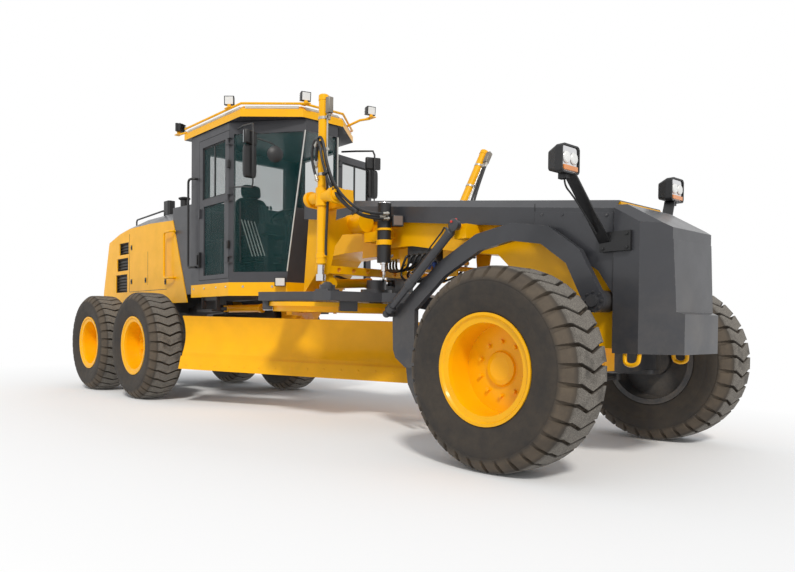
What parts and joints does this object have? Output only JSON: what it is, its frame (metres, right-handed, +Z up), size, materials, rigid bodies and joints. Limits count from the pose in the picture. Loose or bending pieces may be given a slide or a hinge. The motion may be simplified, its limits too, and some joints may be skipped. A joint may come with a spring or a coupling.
{
  "type": "motor grader",
  "caption": "Articulated three-axle motor grader with engine at the rear, glazed cab with one door open, circle-mounted blade, toothed scarifier and front push block",
  "frame": {"origin": "middle of the rear tow hitch's pin bore, 650 mm above the ground", "axes": "+X forward along the machine, +Y to its left, +Z up along the hitch's bore"},
  "size_m": [8.99, 2.7662, 3.3948],
  "materials": {
    "yellow_paint": "gloss yellow enamel",
    "grey_paint": "semi-gloss dark grey enamel",
    "black_paint": "matt black paint",
    "tyre_rubber": "dusty black rubber",
    "glass": "green-tinted safety glass",
    "steel": "bare worn steel",
    "chrome": "hard chrome plate",
    "cast": "rough cast iron",
    "vinyl": "black vinyl and plastic"
  },
  "bodies": {
    "rear": {"rear_frame": "yellow_paint", "engine_block": "cast", "hood_sides": "yellow_paint", "hood_top": "grey_paint", "hood_grilles": "grey_paint", "exhaust_stacks": "grey_paint", "tandem_axle": "yellow_paint", "cab_platform": "yellow_paint", "cab_frame": "black_paint", "cab_roof": "black_paint", "cab_glass": "glass", "seat": "vinyl", "console": "vinyl", "mirrors": "black_paint", "steps_and_rails": "black_paint"},
    "right_door_body": {"right_door": "black_paint", "right_door_glass": "glass"},
    "left_door_body": {"left_door": "black_paint", "left_door_glass": "glass"},
    "front": {"front_frame": "yellow_paint", "frame_cover": "grey_paint", "push_block": "yellow_paint", "headlamps": "black_paint", "lift_arms": "yellow_paint", "front_axle": "yellow_paint"},
    "right_knuckle": {"right_knuckle": "yellow_paint"},
    "left_knuckle": {"left_knuckle": "yellow_paint"},
    "drawbar_body": {"drawbar": "grey_paint"},
    "circle_body": {"circle": "yellow_paint"},
    "blade_body": {"tilt_frame": "yellow_paint", "moldboard": "yellow_paint", "cutting_edge": "steel"},
    "scarifier_body": {"scarifier": "yellow_paint"},
    "tie_rod_body": {"tie_rod": "black_paint"},
    "front_right_wheel": {"front_right_rim": "yellow_paint", "front_right_tyre": "tyre_rubber"},
    "front_left_wheel": {"front_left_rim": "yellow_paint", "front_left_tyre": "tyre_rubber"},
    "mid_right_wheel": {"mid_right_rim": "yellow_paint", "mid_right_tyre": "tyre_rubber"},
    "mid_left_wheel": {"mid_left_rim": "yellow_paint", "mid_left_tyre": "tyre_rubber"},
    "rear_right_wheel": {"rear_right_rim": "yellow_paint", "rear_right_tyre": "tyre_rubber"},
    "rear_left_wheel": {"rear_left_rim": "yellow_paint", "rear_left_tyre": "tyre_rubber"},
    "right_lift_barrel_body": {"right_lift_barrel": "yellow_paint"},
    "right_lift_rod_body": {"right_lift_rod": "chrome"},
    "left_lift_barrel_body": {"left_lift_barrel": "yellow_paint"},
    "left_lift_rod_body": {"left_lift_rod": "chrome"},
    "shift_barrel_body": {"shift_barrel": "yellow_paint"},
    "shift_rod_body": {"shift_rod": "chrome"},
    "scarifier_barrel_body": {"scarifier_barrel": "yellow_paint"},
    "scarifier_rod_body": {"scarifier_rod": "chrome"},
    "right_articulation_barrel_body": {"right_articulation_barrel": "yellow_paint"},
    "right_articulation_rod_body": {"right_articulation_rod": "chrome"},
    "left_articulation_barrel_body": {"left_articulation_barrel": "yellow_paint"},
    "left_articulation_rod_body": {"left_articulation_rod": "chrome"},
    "steering_barrel_body": {"steering_barrel": "yellow_paint"},
    "steering_rod_body": {"steering_rod": "chrome"}
  },
  "joints": [
    {"name": "articulation", "type": "hinge", "parent": "rear", "child": "front", "pos_m": [4.28, 0, 0.6], "axis": [0, 0, 1], "range_deg": [-25, 25]},
    {"name": "right_steer", "type": "hinge", "parent": "front", "child": "right_knuckle", "pos_m": [8.149, -0.89, 0.01], "axis": [0, 0, 1], "range_deg": [-45, 45]},
    {"name": "left_steer", "type": "hinge", "parent": "front", "child": "left_knuckle", "pos_m": [8.149, 0.89, 0.01], "axis": [0, 0, 1], "range_deg": [-45, 45]},
    {"name": "front_right_spin", "type": "hinge", "parent": "right_knuckle", "child": "front_right_wheel", "pos_m": [8.149, -1.0775, 0.01], "axis": [0, 1, 0], "continuous": true},
    {"name": "front_left_spin", "type": "hinge", "parent": "left_knuckle", "child": "front_left_wheel", "pos_m": [8.149, 1.0775, 0.01], "axis": [0, 1, 0], "continuous": true},
    {"name": "mid_right_spin", "type": "hinge", "parent": "rear", "child": "mid_right_wheel", "pos_m": [2.699, -1.0775, 0.01], "axis": [0, 1, 0], "continuous": true},
    {"name": "mid_left_spin", "type": "hinge", "parent": "rear", "child": "mid_left_wheel", "pos_m": [2.699, 1.0775, 0.01], "axis": [0, 1, 0], "continuous": true},
    {"name": "rear_right_spin", "type": "hinge", "parent": "rear", "child": "rear_right_wheel", "pos_m": [1.161, -1.0775, 0.01], "axis": [0, 1, 0], "continuous": true},
    {"name": "rear_left_spin", "type": "hinge", "parent": "rear", "child": "rear_left_wheel", "pos_m": [1.161, 1.0775, 0.01], "axis": [0, 1, 0], "continuous": true},
    {"name": "right_door_hinge", "type": "hinge", "parent": "rear", "child": "right_door_body", "pos_m": [4.18, -0.794, 1.65], "axis": [0, 0, 1], "range_deg": [0, 90]},
    {"name": "left_door_hinge", "type": "hinge", "parent": "rear", "child": "left_door_body", "pos_m": [4.18, 0.794, 1.65], "axis": [0, 0, -1], "range_deg": [-80, 10]},
    {"name": "blade_lift", "type": "hinge", "parent": "front", "child": "drawbar_body", "pos_m": [7.83, 0, 0.3], "axis": [0, 1, 0], "range_deg": [-5.4, 0.7]},
    {"name": "circle_turn", "type": "hinge", "parent": "drawbar_body", "child": "circle_body", "pos_m": [5.54287, -0.30517, 0.44836], "axis": [0.0208, 0.0028, 0.9998], "range_deg": [0, 105]},
    {"name": "blade_tip", "type": "hinge", "parent": "circle_body", "child": "blade_body", "pos_m": [5.32432, 0.09864, -0.12735], "axis": [0.8908, 0.454, -0.0198], "range_deg": [-15, 0]},
    {"name": "right_lift_pivot", "type": "hinge", "parent": "front", "child": "right_lift_barrel_body", "pos_m": [6.03, -0.905, 1.425], "axis": [1, 0, 0], "range_deg": [-0.063, 0.152]},
    {"name": "right_lift_stroke", "type": "slide", "parent": "right_lift_barrel_body", "child": "right_lift_rod_body", "axis": [0, -0.0103, -0.9999], "range_m": [-0.0214, 0.162]},
    {"name": "left_lift_pivot", "type": "hinge", "parent": "front", "child": "left_lift_barrel_body", "pos_m": [6.03, 0.905, 1.425], "axis": [1, 0, 0], "range_deg": [-0.68, 4.88]},
    {"name": "left_lift_stroke", "type": "slide", "parent": "left_lift_barrel_body", "child": "left_lift_rod_body", "axis": [0, -0.4998, -0.8661], "range_m": [-0.0209, 0.1579]},
    {"name": "shift_pivot", "type": "hinge", "parent": "front", "child": "shift_barrel_body", "pos_m": [5.8, -0.67, 0.67], "axis": [1, 0, 0], "range_deg": [-13.62, 1.81]},
    {"name": "shift_stroke", "type": "slide", "parent": "shift_barrel_body", "child": "shift_rod_body", "axis": [0, 0.9982, 0.0603], "range_m": [-0.0012, 0.0062]},
    {"name": "scarifier_lift", "type": "hinge", "parent": "front", "child": "scarifier_body", "pos_m": [8.43, 0, 0.46], "axis": [0, 1, 0], "range_deg": [-8.3, 0]},
    {"name": "scarifier_ram_pivot", "type": "hinge", "parent": "front", "child": "scarifier_barrel_body", "pos_m": [7.28, -0.535, 1.08], "axis": [0, 1, 0], "range_deg": [-11.05, 0.05]},
    {"name": "scarifier_ram_stroke", "type": "slide", "parent": "scarifier_barrel_body", "child": "scarifier_rod_body", "axis": [-0.7508, 0, -0.6605], "range_m": [-0.0005, 0.1822]},
    {"name": "right_articulation_ram_pivot", "type": "hinge", "parent": "rear", "child": "right_articulation_barrel_body", "pos_m": [3.56, -0.44, 0.47], "axis": [0, 0, 1], "range_deg": [-8.39, 8.39]},
    {"name": "right_articulation_ram_stroke", "type": "slide", "parent": "right_articulation_barrel_body", "child": "right_articulation_rod_body", "axis": [0.9954, 0.096, 0], "range_m": [-0.1589, 0.1589]},
    {"name": "left_articulation_ram_pivot", "type": "hinge", "parent": "rear", "child": "left_articulation_barrel_body", "pos_m": [3.56, 0.44, 0.47], "axis": [0, 0, 1], "range_deg": [-8.39, 8.39]},
    {"name": "left_articulation_ram_stroke", "type": "slide", "parent": "left_articulation_barrel_body", "child": "left_articulation_rod_body", "axis": [0.9954, -0.096, 0], "range_m": [-0.1589, 0.1589]},
    {"name": "steering_ram_pivot", "type": "hinge", "parent": "front", "child": "steering_barrel_body", "pos_m": [7.959, 0.15, 0.018], "axis": [0, 0, 1], "range_deg": [-1.4, 1.4]},
    {"name": "steering_ram_stroke", "type": "slide", "parent": "steering_barrel_body", "child": "steering_rod_body", "axis": [-0.0611, -0.9981, 0], "range_m": [-0.1764, 0.1764]},
    {"name": "tie_rod_pivot", "type": "hinge", "parent": "right_knuckle", "child": "tie_rod_body", "pos_m": [7.929, -0.78, -0.132], "axis": [0, 0, 1], "range_deg": [-50.6, 50.6]}
  ],
  "couplings": [
    {"joint": "left_steer", "follows": "right_steer", "ratio": 1},
    {"joint": "right_lift_pivot", "follows": "blade_lift", "ratio": -0.01886},
    {"joint": "right_lift_stroke", "follows": "blade_lift", "m_per_rad": -1.7135},
    {"joint": "left_lift_pivot", "follows": "blade_lift", "ratio": -0.8938},
    {"joint": "left_lift_stroke", "follows": "blade_lift", "m_per_rad": -1.6698},
    {"joint": "shift_pivot", "follows": "blade_lift", "ratio": 2.5137},
    {"joint": "shift_stroke", "follows": "blade_lift", "m_per_rad": -0.06032},
    {"joint": "scarifier_ram_pivot", "follows": "scarifier_lift", "ratio": 1.3248},
    {"joint": "scarifier_ram_stroke", "follows": "scarifier_lift", "m_per_rad": -1.2541},
    {"joint": "right_articulation_ram_pivot", "follows": "articulation", "ratio": 0.33377},
    {"joint": "right_articulation_ram_stroke", "follows": "articulation", "m_per_rad": 0.363},
    {"joint": "left_articulation_ram_pivot", "follows": "articulation", "ratio": 0.33377},
    {"joint": "left_articulation_ram_stroke", "follows": "articulation", "m_per_rad": -0.363},
    {"joint": "steering_ram_pivot", "follows": "right_steer", "ratio": -0.03},
    {"joint": "steering_ram_stroke", "follows": "right_steer", "m_per_rad": 0.224},
    {"joint": "tie_rod_pivot", "follows": "right_steer", "ratio": -1.12}
  ]
}
